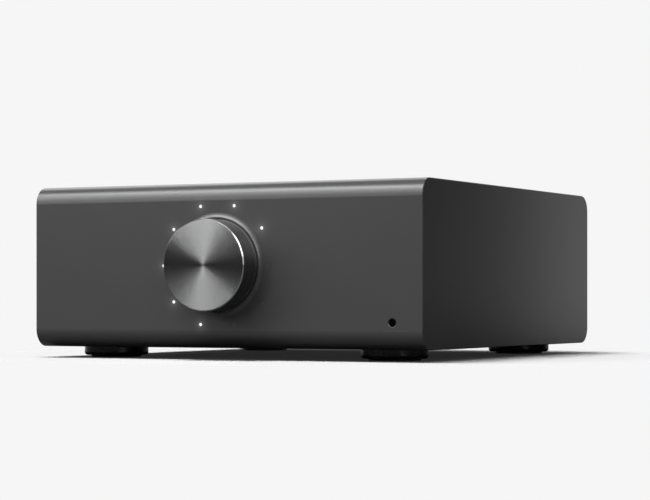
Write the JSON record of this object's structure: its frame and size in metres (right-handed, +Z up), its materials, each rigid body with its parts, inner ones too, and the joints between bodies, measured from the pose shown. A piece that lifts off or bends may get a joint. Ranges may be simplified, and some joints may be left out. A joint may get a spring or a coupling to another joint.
{
  "type": "stereo receiver",
  "caption": "Compact stereo receiver in a dark grey aluminium sleeve with one large push-and-turn knob, a ring of light points, round feet and a rear panel of sockets.",
  "frame": {"origin": "on the table, under the centre of the aluminium sleeve", "axes": "+Z up, the front with the knob faces -Y, +X to the right as seen from the front"},
  "size_m": [0.21, 0.2473, 0.0845],
  "materials": {
    "anodised_aluminium": "fine bead-blasted dark grey anodising",
    "turned_aluminium": "grey anodising over a face turned in fine circles, bright cut chamfer",
    "black_plastic": "satin moulded black",
    "pad_rubber": "matt black",
    "black_steel": "black oxide",
    "zinc_steel": "bright zinc plating",
    "panel_paint": "fine-textured black powder coat",
    "gilt_brass": "gold plating",
    "red_plastic": "gloss red",
    "black_gloss": "gloss black",
    "white_plastic": "white",
    "clear_acrylic": "frosted clear",
    "board_laminate": "green solder mask",
    "ferrite": "dark grey sintered",
    "winding_tape": "yellow tape over copper wire",
    "capacitor_sleeve": "printed-free dark sleeve",
    "black_aluminium": "black anodising",
    "chip_epoxy": "matt black",
    "wire_insulation": "red and grey insulation"
  },
  "bodies": {
    "chassis": {"shell": "anodised_aluminium", "left_end_cap": "anodised_aluminium", "right_end_cap": "anodised_aluminium", "end_cap_screws": "black_steel", "rear_panel": "panel_paint", "rear_panel_screws": "black_steel", "chassis_tray": "zinc_steel", "foot_front_left": "black_plastic", "foot_front_right": "black_plastic", "foot_rear_left": "black_plastic", "foot_rear_right": "black_plastic", "foot_pads": "pad_rubber", "foot_screws": "zinc_steel", "knob_collar": "anodised_aluminium", "encoder_housing": "black_plastic", "encoder_nut": "zinc_steel", "encoder_washer": "zinc_steel", "control_board": "board_laminate", "light_pipes": "clear_acrylic", "indicator_leds": "clear_acrylic", "ir_window": "black_gloss", "ir_receiver": "black_gloss", "mains_inlet": "black_plastic", "mains_pins": "gilt_brass", "power_switch_housing": "black_plastic", "post_studs": "gilt_brass", "post_bushes": "black_plastic", "post_nuts": "zinc_steel", "phono_sleeves": "gilt_brass", "phono_insulators_left": "white_plastic", "phono_insulators_right": "red_plastic", "phono_contacts": "gilt_brass", "optical_socket": "black_plastic", "network_socket": "zinc_steel", "antenna_socket": "zinc_steel", "input_board": "board_laminate", "power_supply_board": "board_laminate", "transformer_core": "ferrite", "transformer_winding": "winding_tape", "supply_capacitors": "capacitor_sleeve", "amplifier_board": "board_laminate", "heat_sink": "black_aluminium", "amplifier_chips": "chip_epoxy", "output_inductors": "ferrite", "board_standoffs": "gilt_brass", "board_screws": "zinc_steel", "internal_wiring": "wire_insulation"},
    "encoder_rotor": {"encoder_rotor": "white_plastic"},
    "knob": {"volume_knob": "turned_aluminium", "encoder_shaft": "zinc_steel"},
    "power_rocker": {"power_rocker": "black_plastic"},
    "optical_flap": {"optical_flap": "black_plastic"},
    "post_insert_1": {"post_insert_1": "gilt_brass"},
    "post_cap_1": {"post_cap_1": "red_plastic"},
    "post_insert_2": {"post_insert_2": "gilt_brass"},
    "post_cap_2": {"post_cap_2": "black_gloss"},
    "post_insert_3": {"post_insert_3": "gilt_brass"},
    "post_cap_3": {"post_cap_3": "red_plastic"},
    "post_insert_4": {"post_insert_4": "gilt_brass"},
    "post_cap_4": {"post_cap_4": "black_gloss"}
  },
  "joints": [
    {"name": "knob_turn", "type": "hinge", "parent": "chassis", "child": "encoder_rotor", "pos_m": [-0.0017, -0.1095, 0.045], "axis": [0, 1, 0], "continuous": true},
    {"name": "knob_press", "type": "slide", "parent": "encoder_rotor", "child": "knob", "axis": [0, 1, 0], "range_m": [0, 0.0006], "stiffness_N_per_m": 5000, "springref_m": -0.0002},
    {"name": "power_switch", "type": "hinge", "parent": "chassis", "child": "power_rocker", "pos_m": [-0.0425, 0.107, 0.045], "axis": [-1, 0, 0], "range_deg": [0, 16]},
    {"name": "optical_shutter", "type": "hinge", "parent": "chassis", "child": "optical_flap", "pos_m": [0.029, 0.1086, 0.03265], "axis": [-1, 0, 0], "range_deg": [0, 88], "stiffness_Nm_per_rad": 0.0008, "springref_deg": -11.46},
    {"name": "post_1_lift", "type": "slide", "parent": "chassis", "child": "post_insert_1", "axis": [0, 1, 0], "range_m": [0, 0.004]},
    {"name": "post_1_turn", "type": "hinge", "parent": "post_insert_1", "child": "post_cap_1", "pos_m": [0.0715, 0.1175, 0.0545], "axis": [0, 1, 0], "range_deg": [0, 1440]},
    {"name": "post_2_lift", "type": "slide", "parent": "chassis", "child": "post_insert_2", "axis": [0, 1, 0], "range_m": [0, 0.004]},
    {"name": "post_2_turn", "type": "hinge", "parent": "post_insert_2", "child": "post_cap_2", "pos_m": [0.0715, 0.1175, 0.0355], "axis": [0, 1, 0], "range_deg": [0, 1440]},
    {"name": "post_3_lift", "type": "slide", "parent": "chassis", "child": "post_insert_3", "axis": [0, 1, 0], "range_m": [0, 0.004]},
    {"name": "post_3_turn", "type": "hinge", "parent": "post_insert_3", "child": "post_cap_3", "pos_m": [0.0475, 0.1175, 0.0545], "axis": [0, 1, 0], "range_deg": [0, 1440]},
    {"name": "post_4_lift", "type": "slide", "parent": "chassis", "child": "post_insert_4", "axis": [0, 1, 0], "range_m": [0, 0.004]},
    {"name": "post_4_turn", "type": "hinge", "parent": "post_insert_4", "child": "post_cap_4", "pos_m": [0.0475, 0.1175, 0.0355], "axis": [0, 1, 0], "range_deg": [0, 1440]}
  ],
  "couplings": [
    {"joint": "post_1_turn", "follows": "post_1_lift", "rad_per_m": 6283.2},
    {"joint": "post_2_turn", "follows": "post_2_lift", "rad_per_m": 6283.2},
    {"joint": "post_3_turn", "follows": "post_3_lift", "rad_per_m": 6283.2},
    {"joint": "post_4_turn", "follows": "post_4_lift", "rad_per_m": 6283.2}
  ]
}
